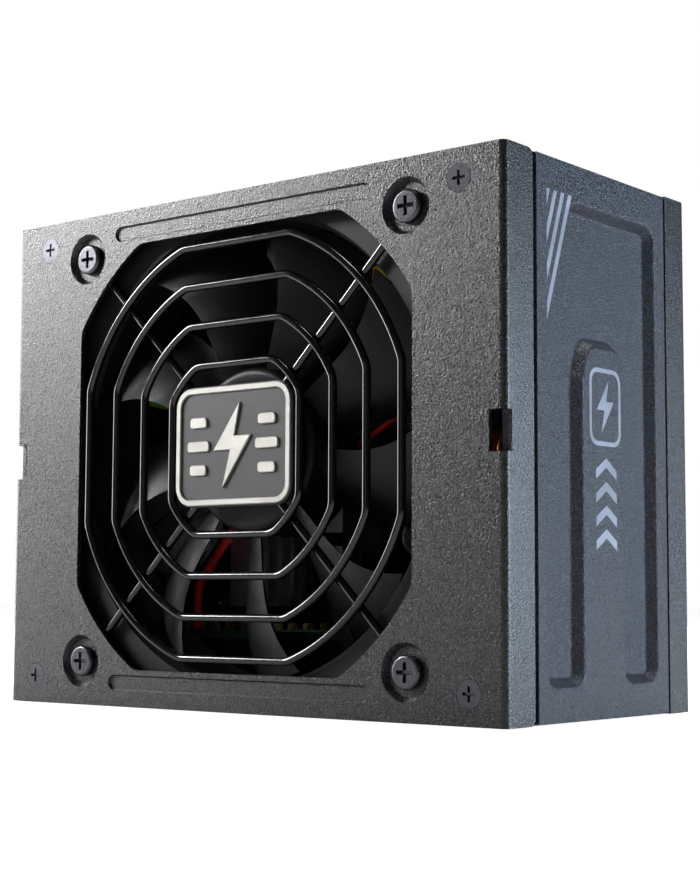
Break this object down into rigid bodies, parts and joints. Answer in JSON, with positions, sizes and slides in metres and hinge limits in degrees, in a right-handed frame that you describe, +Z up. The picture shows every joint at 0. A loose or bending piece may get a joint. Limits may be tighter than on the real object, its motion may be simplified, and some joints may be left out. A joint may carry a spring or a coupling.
{
  "type": "power supply unit",
  "caption": "Compact modular computer power supply: folded steel case with embossed sides, wire fan grille, spinning fan, mains inlet, rocker switch and output sockets.",
  "frame": {"origin": "centre of the connector face that it stands on, as seen from below", "axes": "+X along the 125 mm width, +Y away from the fan side, +Z up towards the mains panel"},
  "size_m": [0.125, 0.0638, 0.104],
  "materials": {
    "black_powder_coat": "fine wrinkle powder coat",
    "black_side_panel": "satin powder coat with a blue-grey sheen",
    "black_screw": "black zinc, slightly glossy",
    "black_wire": "glossy black coated wire",
    "badge": "dark grey with a lighter raised rim",
    "black_plastic": "fine moulded texture",
    "fan_plastic": "fine moulded texture",
    "gloss_black_plastic": "glossy",
    "steel": "plated",
    "ferrite": "sintered dark grey",
    "brass": "plated",
    "copper": "enamelled copper",
    "circuit_board": "solder mask",
    "insulating_film": "film",
    "capacitor_sleeve": "shrink sleeve",
    "grey_film_capacitor": "moulded box",
    "blue_ceramic": "dipped lacquer",
    "glass_fuse": "ceramic with plated caps",
    "aluminium": "mill finish",
    "dark_aluminium": "black anodised",
    "chip_black": "moulded epoxy",
    "yellow_tape": "polyester tape",
    "red_insulation": "smooth",
    "black_insulation": "smooth",
    "brown_insulation": "smooth",
    "blue_insulation": "smooth",
    "green_insulation": "smooth, green and yellow",
    "white_plastic": "nylon"
  },
  "bodies": {
    "casing": {"badge_backplate": "black_wire", "board_fasteners": "steel", "boost_choke_core": "ferrite", "boost_choke_winding": "copper", "bulk_capacitor": "capacitor_sleeve", "busbars": "copper", "chassis": "black_powder_coat", "control_board": "circuit_board", "cover_screws": "black_screw", "fan_bearing": "brass", "fan_board": "circuit_board", "fan_coils": "copper", "fan_connector": "white_plastic", "fan_cover": "black_powder_coat", "fan_frame": "black_plastic", "fan_lead_black": "black_insulation", "fan_lead_red": "red_insulation", "fan_screws": "black_screw", "fan_stator": "steel", "filter_choke_core": "ferrite", "filter_choke_windings": "copper", "fuse": "glass_fuse", "grille_badge": "badge", "grille_rings": "black_wire", "grille_spokes": "black_wire", "ground_lug": "steel", "inlet_housing": "black_plastic", "inlet_pins": "brass", "insulating_sheet": "insulating_film", "line_capacitors": "grey_film_capacitor", "main_board": "circuit_board", "modular_board": "circuit_board", "noise_capacitors": "blue_ceramic", "output_capacitors": "capacitor_sleeve", "output_coil": "copper", "primary_heatsink": "aluminium", "primary_transistors": "chip_black", "secondary_heatsink": "dark_aluminium", "sense_wire": "red_insulation", "side_panel_left": "black_side_panel", "side_panel_right": "black_side_panel", "socket_pins": "brass", "sockets_6_pin": "black_plastic", "sockets_8_pin": "black_plastic", "sockets_mainboard": "black_plastic", "standby_transformer": "yellow_tape", "switch_housing": "black_plastic", "switch_terminals": "brass", "transformer_base": "black_plastic", "transformer_core": "ferrite", "transformer_tape": "yellow_tape", "transformer_winding": "copper", "wire_ground": "green_insulation", "wire_neutral": "blue_insulation", "wires_live": "brown_insulation"},
    "impeller": {"fan_impeller": "fan_plastic", "fan_shaft": "steel", "fan_yoke": "steel", "fan_magnet": "ferrite"},
    "rocker": {"switch_rocker": "gloss_black_plastic"}
  },
  "joints": [
    {"name": "fan_spin", "type": "hinge", "parent": "casing", "child": "impeller", "pos_m": [0, -0.021, 0.05], "axis": [0, -1, 0], "continuous": true},
    {"name": "rocker_tilt", "type": "hinge", "parent": "casing", "child": "rocker", "pos_m": [-0.012, 0.008, 0.099], "axis": [1, 0, 0], "range_deg": [-22, 0]}
  ]
}
